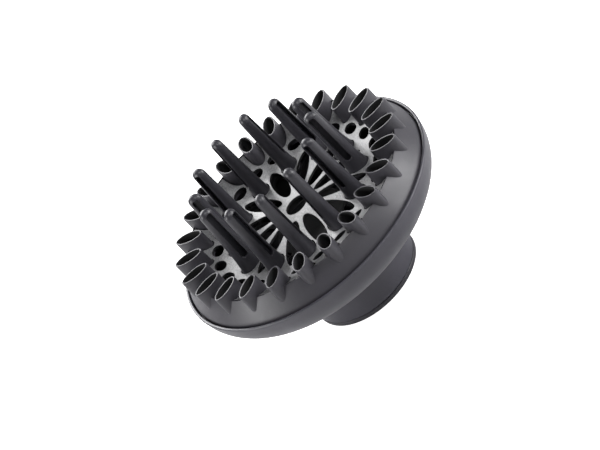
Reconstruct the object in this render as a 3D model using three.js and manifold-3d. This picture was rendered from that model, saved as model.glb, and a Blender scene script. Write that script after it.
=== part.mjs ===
// A push-on diffuser for a hair dryer, standing on its neck with the prongs up.
// Millimetres, +Z along the air path. The origin is the centre of the neck's end face.
//
// The head is a bowl with a neck, closed by a face ring that carries 24 elliptical air tubes.
// A pale perforated dish lies inside the ring's crest, and 12 hollow prongs stand up through it,
// with their feet held against it by a carrier. A spider-shaped deflector spreads the air inside.
// The head turns on a liner, which four spring clips lock to the dryer's nozzle.
import * as THREE from "three";
import { mergeVertices } from "three/addons/utils/BufferGeometryUtils.js";
import Module from "manifold-3d";

const wasm = await Module();
wasm.setup();

// ---- Driving dimensions ----------------------------------------------------------------

const GAP = 0.3; // between pieces that touch or slide
const ROUND_SEGMENTS = 36; // round the large turned pieces
const DISH_SEGMENTS = 24; // round the dish and the carrier, one for each tube
const SMALL_SEGMENTS = 8; // round screws, bosses and their holes

const RIM_RADIUS = 75.2; // the bowl's lip, the widest part of the object
const RIM_TOP = 56.4;
const NECK_BORE = 28.9; // radius, where the liner turns
const NECK_BOTTOM = 3;
const SEAT_TOP = 29; // the flat floor round the neck, under the retaining ring

const TUBE_COUNT = 24;
const TUBE_RING_RADIUS = 61;
const TUBE_MOUTH_HEIGHT = 72.3; // at the middle of each tube
const TUBE_MOUTH_SLOPE = 0.064; // rise per millimetre of radius: the mouths face a little inwards
const TUBE_BOTTOM = 57.6;
const TUBE_HALF_LENGTH = 8; // radial half axis of the ellipse
const TUBE_HALF_WIDTH = 4; // tangential half axis
const TUBE_WALL = 1;
const TUBE_DRAFT = 0.25; // growth of both half axes from mouth to root
const TUBE_SEGMENTS = 10;

const RING_OUTER_RADIUS = 72.6;
const CREST_RADIUS = 64.5; // the ridge between the dish and the ring's outer flank
const CREST_HEIGHT = 67.2;
const LEDGE_INNER_RADIUS = 53.4; // the ring's ledge under the dish
const LEDGE_THICKNESS = 1.4;

const PLATE_TOP = 61.1; // at the middle of the dish
const PLATE_THICKNESS = 1.5;
const PLATE_LOW_RADIUS = 42; // where the dish is lowest
const PLATE_LOW_TOP = 59.5;
const PLATE_SHOULDER_RADIUS = 50;
const CENTRE_HOLE_RADIUS = 6.4;
const PETAL_COUNT = 12;
const PETAL_INNER_RADIUS = 11.7;
const PETAL_OUTER_RADIUS = 42.2;
const PETAL_HALF_WIDTH = 4.2;
const PETAL_SEGMENTS = 12;
const VENT_COUNT = 24;
const VENT_RING_RADIUS = 49.9;
const VENT_HALF_LENGTH = 3.1; // radial half axis
const VENT_HALF_WIDTH = 4.4;

const PRONG_COUNT = 12;
const PRONG_TIP_HEIGHT = 100.8;
const PRONG_TIP_RING_RADIUS = 36.4;
const PRONG_ROOT_RING_RADIUS = 37.7;
const PRONG_WALL = 1.3;
const PRONG_SEGMENTS = 8;
const PRONG_WEB = 1.2; // the upright web that parts a prong's hollow
const WINDOW_WIDTH = 3.7;
const WINDOW_BOTTOM = 67;
const WINDOW_TOP = 99.2;
const FLANGE_THICKNESS = 1.5;
const FLANGE_TOP = PLATE_LOW_TOP - PLATE_THICKNESS - GAP;
const FLANGE_BOTTOM = FLANGE_TOP - FLANGE_THICKNESS;

const CARRIER_TOP = FLANGE_BOTTOM - GAP;
const CARRIER_THICKNESS = 2;
const CARRIER_BOTTOM = CARRIER_TOP - CARRIER_THICKNESS;
const CARRIER_INNER_RADIUS = 29.5;
const CARRIER_OUTER_RADIUS = 47;
const CARRIER_SCREW_RING_RADIUS = 44.3;

const CASE_SCREW_RING_RADIUS = 60;
const DEFLECTOR_BOTTOM = 46.3; // underside of its arms
const DEFLECTOR_THICKNESS = 2;
const DEFLECTOR_RADIUS = 21;
const DEFLECTOR_TIP_HEIGHT = 38;

const LINER_BORE = 27; // radius: takes a dryer nozzle of 52 to 53 mm
const LINER_OUTER_RADIUS = 28.5;
const FLANGE_RING_RADIUS = 31.4; // the end ring that shows below the neck
const LINER_TOP = 32.2;
const CLIP_COUNT = 4;
const CLIP_WIDTH = 7.2;
const CLIP_BOTTOM = 6;
const CLIP_TOP = 20;
const CLIP_INNER_RADIUS = 26.7;
const CLIP_THICKNESS = 1;
const CLIP_BARB = 1; // how far the barb stands into the bore

const degrees = (angle) => (angle * Math.PI) / 180;
const TUBE_STEP = 360 / TUBE_COUNT;
const PRONG_STEP = 360 / PRONG_COUNT;
const CASE_SCREW_ANGLES = [0, 1, 2, 3].map((i) => 1.5 * TUBE_STEP + 90 * i); // between two tubes
const CARRIER_SCREW_ANGLES = [0, 1, 2, 3].map((i) => PRONG_STEP / 2 + 90 * i); // past a petal's end
const CLIP_ANGLES = [0, 1, 2, 3].map((i) => 45 + 90 * i);

// ---- Finishes --------------------------------------------------------------------------

const finish = (color, roughness, metalness = 0) =>
  new THREE.MeshStandardMaterial({ color, roughness, metalness });
const SHELL_GREY = finish(0x5b5b62, 0.45);
const FACE_GREY = finish(0x57575d, 0.5);
const PRONG_GREY = finish(0x3e3e43, 0.42);
const PLATE_SILVER = finish(0xb9b9bb, 0.4, 0.3);
const INNER_BLACK = finish(0x1c1c1e, 0.6);
const LINER_GREY = finish(0x3f3f44, 0.5);
const SCREW_STEEL = finish(0x9a9a9c, 0.35, 1);

// ---- Solids ----------------------------------------------------------------------------

// A closed three.js geometry as a manifold-3d solid.
function solid(geometry) {
  const bare = new THREE.BufferGeometry().setAttribute(
    "position",
    (geometry.index ? geometry.toNonIndexed() : geometry).getAttribute("position"),
  );
  const merged = mergeVertices(bare, 1e-4);
  return new wasm.Manifold(
    new wasm.Mesh({
      numProp: 3,
      vertProperties: merged.attributes.position.array,
      triVerts: new Uint32Array(merged.index.array),
    }),
  );
}

function mesh(name, shape, material) {
  const { vertProperties, triVerts } = shape.getMesh();
  const geometry = new THREE.BufferGeometry()
    .setAttribute("position", new THREE.BufferAttribute(vertProperties, 3))
    .setIndex(new THREE.BufferAttribute(triVerts, 1));
  geometry.computeVertexNormals();
  const made = new THREE.Mesh(geometry, material);
  made.name = name;
  return made;
}

// Turns a closed outline of [radius, height] pairs about +Z. The outline may run either way round.
function turned(outline, segments = ROUND_SEGMENTS) {
  const area = outline.reduce((sum, [r, z], i) => {
    const [nextR, nextZ] = outline[(i + 1) % outline.length];
    return sum + r * nextZ - nextR * z;
  }, 0);
  const ordered = area > 0 ? outline : [...outline].reverse();
  const points = [...ordered, ordered[0]].map(([r, z]) => new THREE.Vector2(r, z));
  return solid(new THREE.LatheGeometry(points, segments).rotateX(Math.PI / 2));
}

function cylinder(radius, bottom, top, segments = SMALL_SEGMENTS) {
  return solid(
    new THREE.CylinderGeometry(radius, radius, top - bottom, segments)
      .rotateX(Math.PI / 2)
      .translate(0, 0, (bottom + top) / 2),
  );
}

function block(width, depth, bottom, top) {
  return solid(
    new THREE.BoxGeometry(width, depth, top - bottom).translate(0, 0, (bottom + top) / 2),
  );
}

// An upright elliptical prism whose half axes may grow downwards, centred on +Z.
function ellipticPrism(halfX, halfY, bottom, top, segments, growth = 0) {
  const corners = Array.from({ length: segments }, (_, i) => (2 * Math.PI * i) / segments);
  const shape = new THREE.Shape(
    corners.map((angle) => new THREE.Vector2(Math.cos(angle), Math.sin(angle))),
  );
  const geometry = new THREE.ExtrudeGeometry(shape, { depth: 1, bevelEnabled: false });
  const position = geometry.getAttribute("position");
  for (let i = 0; i < position.count; i++) {
    const extra = growth * (1 - position.getZ(i));
    position.setXYZ(
      i,
      position.getX(i) * (halfX + extra),
      position.getY(i) * (halfY + extra),
      bottom + position.getZ(i) * (top - bottom),
    );
  }
  return solid(geometry);
}

// Moves a solid made at the origin out along +X and turns it to an angle about +Z.
const placed = (shape, radius, angle) => shape.translate([radius, 0, 0]).rotate([0, 0, angle]);
const around = (count, step, start, make) =>
  Array.from({ length: count }, (_, i) => make(start + i * step));
const join = (first, ...others) => others.flat().reduce((sum, next) => sum.add(next), first);
const cut = (first, ...others) => others.flat().reduce((rest, next) => rest.subtract(next), first);

// ---- Shapes that several pieces share ---------------------------------------------------

const DISH_CURVE = [
  [PLATE_LOW_RADIUS, PLATE_LOW_TOP],
  [PLATE_SHOULDER_RADIUS, PLATE_TOP],
  [CREST_RADIUS - GAP, CREST_HEIGHT - 0.2],
];

// The dish's upper surface outside its shoulder.
function dishHeight(radius) {
  const [[r0, z0], [r1, z1]] = DISH_CURVE.slice(1);
  return z0 + ((radius - r0) * (z1 - z0)) / (r1 - r0);
}

const petals = (bottom, top) => {
  const middle = (PETAL_INNER_RADIUS + PETAL_OUTER_RADIUS) / 2;
  const halfLength = (PETAL_OUTER_RADIUS - PETAL_INNER_RADIUS) / 2;
  const one = ellipticPrism(halfLength, PETAL_HALF_WIDTH, bottom, top, PETAL_SEGMENTS);
  return around(PETAL_COUNT, PRONG_STEP, PRONG_STEP / 2, (angle) => placed(one, middle, angle));
};

const atProngRoots = (halfX, halfY, bottom, top) => {
  const one = ellipticPrism(halfX, halfY, bottom, top, PRONG_SEGMENTS);
  return around(PRONG_COUNT, PRONG_STEP, 0, (angle) => placed(one, PRONG_ROOT_RING_RADIUS, angle));
};

const atAngles = (angles, radius, shape) => angles.map((angle) => placed(shape, radius, angle));

// ---- The head's shells -----------------------------------------------------------------

// The bowl and its neck in one moulding, with four screw bosses inside.
function bowlShell() {
  const outside = [
    [31.2, NECK_BOTTOM],
    [30.4, 17],
    [31.4, 24],
    [34.5, 26.8],
    [59, 35.2],
    [64.6, 38.2],
    [68.2, 40.8],
    [71.3, 44.3],
    [73.6, 48.6],
    [74.6, 52.6],
    [RIM_RADIUS, 55.4],
    [RIM_RADIUS - 0.3, RIM_TOP],
  ];
  const inside = [
    [73.6, RIM_TOP],
    [73.5, 51.6],
    [71.9, 51.6],
    [70.4, 47.4],
    [66.8, 43],
    [62.6, 39.8],
    [58.2, 37.3],
    [34.2, SEAT_TOP],
    [NECK_BORE, SEAT_TOP],
    [NECK_BORE, NECK_BOTTOM],
  ];
  const envelope = turned([[0, NECK_BOTTOM], ...outside, [0, RIM_TOP]]);
  const bosses = atAngles(
    CASE_SCREW_ANGLES,
    CASE_SCREW_RING_RADIUS,
    cylinder(4.6, 30, 42).add(cylinder(3.2, 41, DEFLECTOR_BOTTOM - GAP)),
  ).map((boss) => boss.intersect(envelope));
  const screwHoles = atAngles(
    CASE_SCREW_ANGLES,
    CASE_SCREW_RING_RADIUS,
    cylinder(3.2, 30, 40).add(cylinder(1.5, 35, 50)),
  );
  return cut(join(turned([...outside, ...inside]), bosses), screwHoles);
}

// The front cover: a ridge whose inner flank is a ledge for the dish, with the tubes standing
// across its crest, and with the bosses that the case screws bite.
function faceRing() {
  const ledgeTop = (r) => dishHeight(r) - PLATE_THICKNESS - GAP;
  const outline = [
    [LEDGE_INNER_RADIUS, ledgeTop(LEDGE_INNER_RADIUS)],
    [CREST_RADIUS, ledgeTop(CREST_RADIUS)],
    [CREST_RADIUS, CREST_HEIGHT - 0.2],
    [CREST_RADIUS + 0.7, CREST_HEIGHT - 0.3],
    [RING_OUTER_RADIUS - 0.4, 57.2],
    [RING_OUTER_RADIUS, 56.2],
    [RING_OUTER_RADIUS, 51.9],
    [71, 51.9],
    [71, 56.4],
    [64.6, ledgeTop(CREST_RADIUS) - LEDGE_THICKNESS],
    [LEDGE_INNER_RADIUS, ledgeTop(LEDGE_INNER_RADIUS) - LEDGE_THICKNESS],
  ];
  const { outers, bores } = tubes();
  const bosses = atAngles(
    CASE_SCREW_ANGLES,
    CASE_SCREW_RING_RADIUS,
    cylinder(3.2, DEFLECTOR_BOTTOM + DEFLECTOR_THICKNESS + GAP, 61.2),
  );
  const pilotHoles = atAngles(CASE_SCREW_ANGLES, CASE_SCREW_RING_RADIUS, cylinder(1.5, 45, 58.5));
  return cut(join(turned(outline), outers, bosses), bores, pilotHoles);
}

// The tubes as solid prisms and as the bores that hollow them.
function tubes() {
  const mouthHeight = (offset) => TUBE_MOUTH_HEIGHT + TUBE_MOUTH_SLOPE * offset;
  const outer = ellipticPrism(
    TUBE_HALF_LENGTH,
    TUBE_HALF_WIDTH,
    TUBE_BOTTOM,
    TUBE_MOUTH_HEIGHT,
    TUBE_SEGMENTS,
    TUBE_DRAFT,
  ).warp((vertex) => {
    if (vertex[2] > (TUBE_BOTTOM + TUBE_MOUTH_HEIGHT) / 2) {
      vertex[2] = mouthHeight(vertex[0]);
    }
  });
  const bore = ellipticPrism(
    TUBE_HALF_LENGTH - TUBE_WALL,
    TUBE_HALF_WIDTH - TUBE_WALL,
    TUBE_BOTTOM - 2,
    TUBE_MOUTH_HEIGHT + 3,
    TUBE_SEGMENTS,
  );
  return {
    outers: around(TUBE_COUNT, TUBE_STEP, 0, (angle) => placed(outer, TUBE_RING_RADIUS, angle)),
    bores: around(TUBE_COUNT, TUBE_STEP, 0, (angle) => placed(bore, TUBE_RING_RADIUS, angle)),
  };
}

// ---- The plate, the prongs and what holds them ------------------------------------------

// The pale perforated dish. Its rim reaches the crest in tongues between the tubes.
function grillePlate() {
  const below = PLATE_LOW_TOP - PLATE_THICKNESS - 2;
  const above = CREST_HEIGHT + 1;
  const top = [[CENTRE_HOLE_RADIUS, PLATE_TOP], ...DISH_CURVE];
  const bottom = top.map(([r, z]) => [r, z - PLATE_THICKNESS]).reverse();
  const bosses = atAngles(
    CARRIER_SCREW_ANGLES,
    CARRIER_SCREW_RING_RADIUS,
    cylinder(2.2, CARRIER_TOP + GAP, PLATE_LOW_TOP - 1),
  );
  const vent = ellipticPrism(VENT_HALF_LENGTH, VENT_HALF_WIDTH, below, above, SMALL_SEGMENTS);
  const vents = around(VENT_COUNT, TUBE_STEP, TUBE_STEP / 2, (angle) =>
    placed(vent, VENT_RING_RADIUS, angle),
  );
  const tubeHole = ellipticPrism(
    TUBE_HALF_LENGTH + TUBE_DRAFT + 2 * GAP,
    TUBE_HALF_WIDTH + TUBE_DRAFT + 2 * GAP,
    below,
    above,
    TUBE_SEGMENTS,
  );
  const tubeHoles = around(TUBE_COUNT, TUBE_STEP, 0, (angle) =>
    placed(tubeHole, TUBE_RING_RADIUS, angle),
  );
  const pilotHoles = atAngles(
    CARRIER_SCREW_ANGLES,
    CARRIER_SCREW_RING_RADIUS,
    cylinder(1.1, below - 5, PLATE_LOW_TOP - 0.5, 6),
  );
  return cut(
    join(turned([...top, ...bottom], DISH_SEGMENTS), bosses),
    petals(below, above),
    vents,
    tubeHoles,
    atProngRoots(6.9, 5.1, below, above),
    pilotHoles,
  );
}

// Half axes of a prong's section at a height above the plate, and its distance from the axis.
function prongSection(z) {
  const height = PRONG_TIP_HEIGHT - PLATE_LOW_TOP;
  const share = THREE.MathUtils.clamp((z - PLATE_LOW_TOP) / height, 0, 1);
  const flare = (1 - share) ** 6; // the root spreads in its last few millimetres
  return {
    radial: THREE.MathUtils.lerp(5.3, 3.7, share) + 1.1 * flare,
    tangential: THREE.MathUtils.lerp(4.1, 3, share) + 0.5 * flare,
    radius: THREE.MathUtils.lerp(PRONG_ROOT_RING_RADIUS, PRONG_TIP_RING_RADIUS, share),
  };
}

// A turned unit form, pulled out to the prong's elliptical sections. inset thins them.
function prongForm(outline, inset) {
  return turned(outline, PRONG_SEGMENTS).warp((vertex) => {
    const { radial, tangential, radius } = prongSection(vertex[2]);
    vertex[0] = radius + vertex[0] * (radial - inset);
    vertex[1] *= tangential - inset;
  });
}

// One hollow prong at angle 0: a tapering elliptical finger with a domed tip, a foot flange
// under the plate, a long window in each of its two flat sides, and a web between the windows.
function prong() {
  const domeBase = PRONG_TIP_HEIGHT - 3.4;
  const levels = [FLANGE_TOP - 0.5, PLATE_LOW_TOP, 64];
  const body = prongForm(
    [
      [0, levels[0]],
      ...levels.map((z) => [1, z]),
      [1, domeBase],
      [0.86, PRONG_TIP_HEIGHT - 1.5],
      [0.5, PRONG_TIP_HEIGHT - 0.4],
      [0, PRONG_TIP_HEIGHT],
    ],
    0,
  );
  const flange = ellipticPrism(7.2, 5.5, FLANGE_BOTTOM, FLANGE_TOP, PRONG_SEGMENTS).translate([
    PRONG_ROOT_RING_RADIUS,
    0,
    0,
  ]);
  const cavity = prongForm(
    [
      [0, FLANGE_BOTTOM - 1],
      [1, FLANGE_BOTTOM - 1],
      [1, 64],
      [1, domeBase],
      [0, PRONG_TIP_HEIGHT - PRONG_WALL - 0.6],
    ],
    PRONG_WALL,
  );
  const web = block(16, PRONG_WEB, FLANGE_BOTTOM - 2, PRONG_TIP_HEIGHT).translate([
    PRONG_ROOT_RING_RADIUS,
    0,
    0,
  ]);
  return cut(body.add(flange), cavity.add(prongWindow()).subtract(web));
}

// A slot with round ends, cut right through a prong from side to side along its leaning axis.
function prongWindow() {
  const half = WINDOW_WIDTH / 2;
  const low = prongSection(WINDOW_BOTTOM).radius;
  const high = prongSection(WINDOW_TOP).radius;
  const slot = new THREE.Shape()
    .absarc(low, WINDOW_BOTTOM + half, half, Math.PI, 2 * Math.PI, false)
    .absarc(high, WINDOW_TOP - half, half, 0, Math.PI, false);
  const depth = 16;
  return solid(
    new THREE.ExtrudeGeometry(new THREE.Shape(slot.getPoints(3)), { depth, bevelEnabled: false })
      .rotateX(Math.PI / 2)
      .translate(0, depth / 2, 0),
  );
}

// The crown under the plate: an outer ring with a tab below each prong's foot.
function prongCarrier() {
  const below = CARRIER_BOTTOM - 1;
  const above = CARRIER_TOP + 1;
  const ring = turned(
    [
      [CARRIER_INNER_RADIUS, CARRIER_BOTTOM],
      [CARRIER_OUTER_RADIUS, CARRIER_BOTTOM],
      [CARRIER_OUTER_RADIUS, CARRIER_TOP],
      [CARRIER_INNER_RADIUS, CARRIER_TOP],
    ],
    DISH_SEGMENTS,
  );
  const screwHoles = atAngles(
    CARRIER_SCREW_ANGLES,
    CARRIER_SCREW_RING_RADIUS,
    cylinder(1.1, below, above, 6),
  );
  return cut(ring, petals(below, above), atProngRoots(4.6, 3, below, above), screwHoles);
}

// A cone that points down the neck, on four arms that the case screws clamp.
function airDeflector() {
  const top = DEFLECTOR_BOTTOM + DEFLECTOR_THICKNESS;
  const cone = turned(
    [
      [0, DEFLECTOR_TIP_HEIGHT],
      [2.5, DEFLECTOR_TIP_HEIGHT + 0.3],
      [DEFLECTOR_RADIUS, DEFLECTOR_BOTTOM],
      [DEFLECTOR_RADIUS, top],
      [DEFLECTOR_RADIUS - 1.2, top],
      [2, DEFLECTOR_TIP_HEIGHT + 2],
      [0, DEFLECTOR_TIP_HEIGHT + 1.8],
    ],
    24,
  );
  const armStart = DEFLECTOR_RADIUS - 1.5;
  const arm = block(CASE_SCREW_RING_RADIUS - armStart, 5, DEFLECTOR_BOTTOM, top)
    .translate([(armStart - CASE_SCREW_RING_RADIUS) / 2, 0, 0])
    .add(cylinder(3.8, DEFLECTOR_BOTTOM, top));
  const arms = atAngles(CASE_SCREW_ANGLES, CASE_SCREW_RING_RADIUS, arm);
  const eyes = atAngles(
    CASE_SCREW_ANGLES,
    CASE_SCREW_RING_RADIUS,
    cylinder(1.5, DEFLECTOR_BOTTOM - 1, top + 1),
  );
  return cut(join(cone, arms), eyes);
}

// ---- Fasteners -------------------------------------------------------------------------

// A pan-head screw pointing up.
function screw(headRadius, headBottom, headTop, shankRadius, shankTop) {
  const head = cylinder(headRadius, headBottom, headTop);
  return head.add(cylinder(shankRadius, headBottom + 0.5, shankTop, 6));
}

const caseScrew = () => screw(2.8, 37.8, 39.7, 1.2, 57);
const carrierScrew = () =>
  screw(2, CARRIER_BOTTOM - 1.8, CARRIER_BOTTOM - GAP, 0.8, PLATE_LOW_TOP - 0.9);

// ---- The swivel liner ------------------------------------------------------------------

// The sleeve that goes over the dryer's nozzle. Its end ring shows below the neck, a lip at the
// top stops the nozzle, a groove outside takes the retaining ring, and four windows hold clips.
function neckLiner() {
  const outline = [
    [LINER_BORE, 0],
    [FLANGE_RING_RADIUS - 0.5, 0],
    [FLANGE_RING_RADIUS, 0.8],
    [FLANGE_RING_RADIUS, NECK_BOTTOM - GAP],
    [LINER_OUTER_RADIUS, NECK_BOTTOM - GAP],
    [LINER_OUTER_RADIUS, SEAT_TOP + 0.1],
    [27.6, SEAT_TOP + 0.1],
    [27.6, SEAT_TOP + 1.9],
    [LINER_OUTER_RADIUS, SEAT_TOP + 1.9],
    [LINER_OUTER_RADIUS, LINER_TOP],
    [25, LINER_TOP],
    [25, LINER_TOP - 1.8],
    [LINER_BORE, LINER_TOP - 1.8],
  ];
  const window = block(6, CLIP_WIDTH + 0.8, CLIP_BOTTOM - 0.4, CLIP_TOP + 0.6);
  return cut(turned(outline), atAngles(CLIP_ANGLES, LINER_BORE, window));
}

// The split ring above the neck's seat that keeps the liner in.
function retainingRing() {
  const ring = turned([
    [27.9, SEAT_TOP + GAP],
    [32.3, SEAT_TOP + GAP],
    [32.3, SEAT_TOP + 1.6],
    [27.9, SEAT_TOP + 1.6],
  ]);
  return cut(ring, placed(block(8, 4, SEAT_TOP, SEAT_TOP + 3), 30, 0));
}

// A spring tongue with a barb near its free end, at angle 0.
function nozzleClip() {
  const outer = CLIP_INNER_RADIUS + CLIP_THICKNESS;
  const side = new THREE.Shape([
    new THREE.Vector2(CLIP_INNER_RADIUS, CLIP_BOTTOM),
    new THREE.Vector2(outer, CLIP_BOTTOM),
    new THREE.Vector2(outer, CLIP_TOP),
    new THREE.Vector2(CLIP_INNER_RADIUS, CLIP_TOP),
    new THREE.Vector2(CLIP_INNER_RADIUS - CLIP_BARB, CLIP_TOP - 1.6),
    new THREE.Vector2(CLIP_INNER_RADIUS - CLIP_BARB, CLIP_TOP - 2.6),
    new THREE.Vector2(CLIP_INNER_RADIUS, CLIP_TOP - 6),
  ]);
  return solid(
    new THREE.ExtrudeGeometry(side, { depth: CLIP_WIDTH, bevelEnabled: false })
      .rotateX(Math.PI / 2)
      .translate(0, CLIP_WIDTH / 2, 0),
  );
}

// ---- The assembly ----------------------------------------------------------------------

// Copies of one solid, each its own named mesh turned to its angle.
function copies(prefix, digits, angles, radius, shape, material) {
  return angles.map((angle, i) => {
    const number = String(i + 1).padStart(digits, "0");
    return mesh(`${prefix}_${number}`, placed(shape, radius, angle), material);
  });
}

const head = new THREE.Group();
const prongAngles = Array.from({ length: PRONG_COUNT }, (_, i) => i * PRONG_STEP);
head.add(
  mesh("bowl_shell", bowlShell(), SHELL_GREY),
  mesh("face_ring", faceRing(), FACE_GREY),
  mesh("grille_plate", grillePlate(), PLATE_SILVER),
  mesh("prong_carrier", prongCarrier(), INNER_BLACK),
  mesh("air_deflector", airDeflector(), INNER_BLACK),
  ...copies("prong", 2, prongAngles, 0, prong(), PRONG_GREY),
  ...copies("case_screw", 1, CASE_SCREW_ANGLES, CASE_SCREW_RING_RADIUS, caseScrew(), SCREW_STEEL),
  ...copies(
    "carrier_screw",
    1,
    CARRIER_SCREW_ANGLES,
    CARRIER_SCREW_RING_RADIUS,
    carrierScrew(),
    SCREW_STEEL,
  ),
);

const swivel = new THREE.Group();
swivel.add(
  mesh("neck_liner", neckLiner(), LINER_GREY),
  mesh("retaining_ring", retainingRing(), SCREW_STEEL),
  ...copies("nozzle_clip", 1, CLIP_ANGLES, 0, nozzleClip(), LINER_GREY),
);

const diffuser = new THREE.Group();
diffuser.add(head, swivel);

export default diffuser;
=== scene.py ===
"""A push-on hair-dryer diffuser, modelled piece by piece inside the box of its CAD part.

It stands on the end of its neck with the prongs up. Lengths in the outlines below are in
millimetres, as (distance from the axis, height); everything handed to Blender is in metres.
"""

import math

import bmesh
import bpy
from mathutils import Matrix, Vector
from mathutils.geometry import interpolate_bezier


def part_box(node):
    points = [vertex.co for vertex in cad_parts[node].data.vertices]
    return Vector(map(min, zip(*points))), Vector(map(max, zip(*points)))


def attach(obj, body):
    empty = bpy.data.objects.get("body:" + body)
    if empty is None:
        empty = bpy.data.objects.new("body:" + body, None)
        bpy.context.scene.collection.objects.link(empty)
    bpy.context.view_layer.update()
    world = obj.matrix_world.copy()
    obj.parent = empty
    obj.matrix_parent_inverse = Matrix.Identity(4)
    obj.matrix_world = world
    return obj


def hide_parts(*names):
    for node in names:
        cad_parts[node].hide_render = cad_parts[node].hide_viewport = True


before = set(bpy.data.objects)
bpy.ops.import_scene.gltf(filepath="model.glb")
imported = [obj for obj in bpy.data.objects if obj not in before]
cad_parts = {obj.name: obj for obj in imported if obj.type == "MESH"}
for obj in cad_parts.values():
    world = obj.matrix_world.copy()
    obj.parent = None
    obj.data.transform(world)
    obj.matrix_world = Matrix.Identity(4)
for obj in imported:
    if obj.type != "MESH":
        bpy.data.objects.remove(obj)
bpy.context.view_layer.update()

bl_info = {
    "name": "Hair Dryer Diffuser",
    "version": (1, 0, 0),
    "blender": (4, 5, 0),
    "location": "View3D > Sidebar > Diffuser",
    "description": "Models a push-on diffuser with air tubes, a perforated dish and hollow prongs",
    "category": "Add Mesh",
}

MM = 0.001
RIM_STEPS = 192  # round the bowl, the ring and the dish
NECK_STEPS = 144
SMALL_STEPS = 32
TUBE_COUNT = 24
TUBE_RING = 61.0  # millimetres from the axis
PRONG_COUNT = 12
QUARTERS = 4
CASE_SCREW_RING = 60.0  # millimetres from the axis
CASE_SCREW_TURN = math.radians(22.5)  # between two tubes
CARRIER_SCREW_RING = 44.3
CARRIER_SCREW_TURN = math.radians(15.0)  # past the end of a petal
CLIP_TURN = math.radians(45.0)
SHARP = math.radians(32.0)
SHADE_SPLIT = "shade_split"  # the attribute that is 1 on faces with their own colour and 0 where shade is painted


def top_of(node):
    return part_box(node)[1].z


def bottom_of(node):
    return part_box(node)[0].z


# ---- Settings ---------------------------------------------------------------------------


class DiffuserSizes(bpy.types.PropertyGroup):
    """The sizes that the whole form follows."""

    rim_radius: bpy.props.FloatProperty(
        name="Rim radius",
        description="Radius of the bowl's lip, the widest part",
        default=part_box("bowl_shell")[1].x,
        unit="LENGTH",
    )
    rim_height: bpy.props.FloatProperty(
        name="Rim height",
        description="Height of the bowl's lip above the neck's end",
        default=top_of("bowl_shell"),
        unit="LENGTH",
    )
    tube_ring_radius: bpy.props.FloatProperty(
        name="Tube ring radius",
        description="Distance of each air tube from the axis",
        default=TUBE_RING * MM,
        unit="LENGTH",
    )
    tube_mouth_height: bpy.props.FloatProperty(
        name="Tube mouth height",
        description="Height of the tubes' mouths at their middle",
        default=0.0723,
        unit="LENGTH",
    )
    tube_length: bpy.props.FloatProperty(
        name="Tube mouth length",
        description="Size of a tube's mouth away from the axis",
        default=0.016,
        unit="LENGTH",
    )
    tube_width: bpy.props.FloatProperty(
        name="Tube mouth width",
        description="Size of a tube's mouth along the rim",
        default=0.008,
        unit="LENGTH",
    )
    tube_wall: bpy.props.FloatProperty(
        name="Tube wall",
        description="Thickness of a tube's wall at its lip",
        default=0.0009,
        unit="LENGTH",
    )
    prong_height: bpy.props.FloatProperty(
        name="Prong height",
        description="Height of the prongs' tips above the neck's end",
        default=top_of("prong_01"),
        unit="LENGTH",
    )
    dish_thickness: bpy.props.FloatProperty(
        name="Dish thickness",
        description="Thickness of the perforated dish",
        default=0.0015,
        unit="LENGTH",
    )


class DiffuserFinishes(bpy.types.PropertyGroup):
    """The colours of the mouldings and the metal."""

    bowl: bpy.props.FloatVectorProperty(
        name="Bowl",
        description="Colour of the bowl and neck",
        subtype="COLOR",
        size=3,
        min=0.0,
        max=1.0,
        default=(0.066, 0.064, 0.079),
    )
    face: bpy.props.FloatVectorProperty(
        name="Face ring",
        description="Colour of the ring that carries the tubes",
        subtype="COLOR",
        size=3,
        min=0.0,
        max=1.0,
        default=(0.058, 0.056, 0.066),
    )
    prong: bpy.props.FloatVectorProperty(
        name="Prongs",
        description="Colour of the prongs",
        subtype="COLOR",
        size=3,
        min=0.0,
        max=1.0,
        default=(0.042, 0.041, 0.049),
    )
    dish: bpy.props.FloatVectorProperty(
        name="Dish",
        description="Colour of the perforated dish",
        subtype="COLOR",
        size=3,
        min=0.0,
        max=1.0,
        default=(0.235, 0.235, 0.242),
    )
    # This colour is also the painted shade inside the bowl, in the tube bores and on the dish's hole
    # walls and underside.
    inside: bpy.props.FloatVectorProperty(
        name="Inner pieces",
        description="Colour of the carrier and the deflector",
        subtype="COLOR",
        size=3,
        min=0.0,
        max=1.0,
        default=(0.012, 0.012, 0.013),
    )
    steel: bpy.props.FloatVectorProperty(
        name="Steel",
        description="Colour of the screws and the retaining ring",
        subtype="COLOR",
        size=3,
        min=0.0,
        max=1.0,
        default=(0.56, 0.56, 0.57),
    )


# ---- Mesh tools -------------------------------------------------------------------------


def curve(start, handle_1, handle_2, end, points):
    """The points of a Bezier stretch of an outline, without its last one."""
    corners = [Vector((r, z)) for r, z in (start, handle_1, handle_2, end)]
    return [tuple(p) for p in interpolate_bezier(*corners, points + 1)][:-1]


def turned(outline, steps=RIM_STEPS, closed=True):
    """Turns an outline about +Z. An open outline starts and ends on the axis."""
    bm = bmesh.new()
    corners = [bm.verts.new((r * MM, 0.0, z * MM)) for r, z in outline]
    following = corners[1:] + corners[:1] if closed else corners[1:]
    sides = [bm.edges.new(pair) for pair in zip(corners, following)]
    bmesh.ops.spin(
        bm,
        geom=corners + sides,
        cent=(0.0, 0.0, 0.0),
        axis=(0.0, 0.0, 1.0),
        angle=math.tau,
        steps=steps,
        use_merge=True,
    )
    bmesh.ops.remove_doubles(bm, verts=bm.verts, dist=1e-7)
    bmesh.ops.recalc_face_normals(bm, faces=bm.faces)
    return bm


def section_matrix(section):
    half_x, half_y, x, z = (size * MM for size in section)
    return Matrix.Translation((x, 0.0, z)) @ Matrix.Diagonal((half_x, half_y, 1.0, 1.0))


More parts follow.
